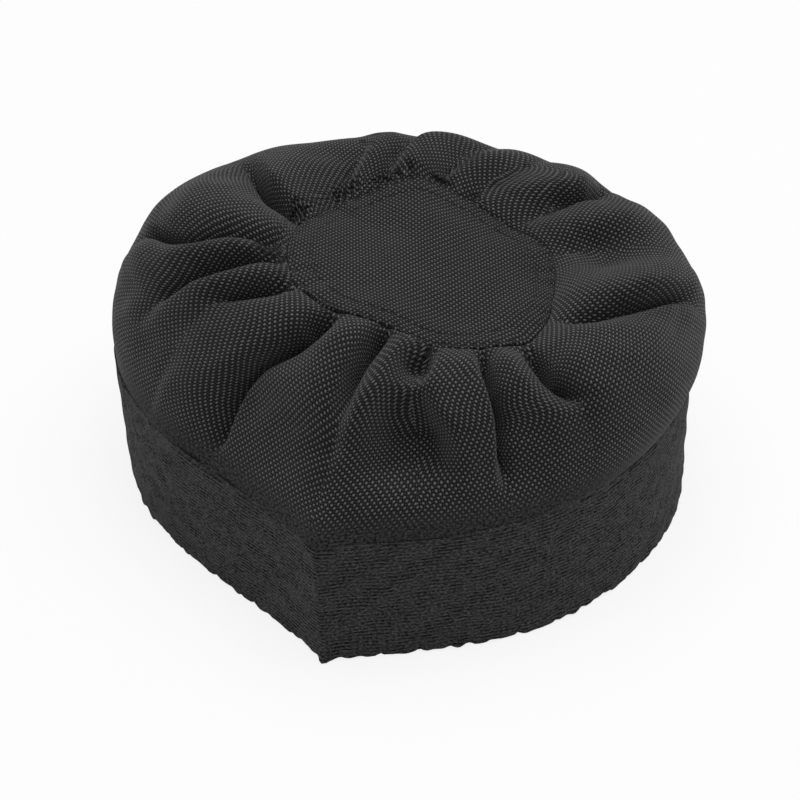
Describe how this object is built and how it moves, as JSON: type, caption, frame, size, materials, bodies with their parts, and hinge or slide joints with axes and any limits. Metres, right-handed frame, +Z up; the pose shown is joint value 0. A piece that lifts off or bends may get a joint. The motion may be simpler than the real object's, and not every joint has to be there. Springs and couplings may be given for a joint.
{
  "type": "gathered cap",
  "caption": "Low soft cap: a cloth crown gathered to a round top disc and sewn into a stiff stitched band, with a pointed closing seam.",
  "frame": {"origin": "middle of the cap's footprint, on the surface it stands on", "axes": "+Z up through the crown; the band's closing seam faces -Y; +X is the cap's right side seen from the seam"},
  "size_m": [0.2078, 0.2002, 0.1038],
  "materials": {
    "woven_cloth": "black coarse plain weave with a faint sheen on the yarns",
    "band_cloth": "black matte cloth closely stitched in rows, slightly fuzzy",
    "core_felt": "dark stiff felt",
    "lining_cloth": "black plain lining cloth",
    "thread": "black sewing thread"
  },
  "bodies": {
    "root": {"top_disc": "woven_cloth", "crown_panel": "woven_cloth", "band_cover": "band_cloth", "band_interlining": "core_felt", "band_lining": "lining_cloth", "disc_facing": "lining_cloth", "back_seam_binding": "lining_cloth", "band_hem_stitch": "thread", "band_top_stitch": "thread", "disc_stitch_inner": "thread", "disc_stitch_outer": "thread"}
  },
  "joints": []
}
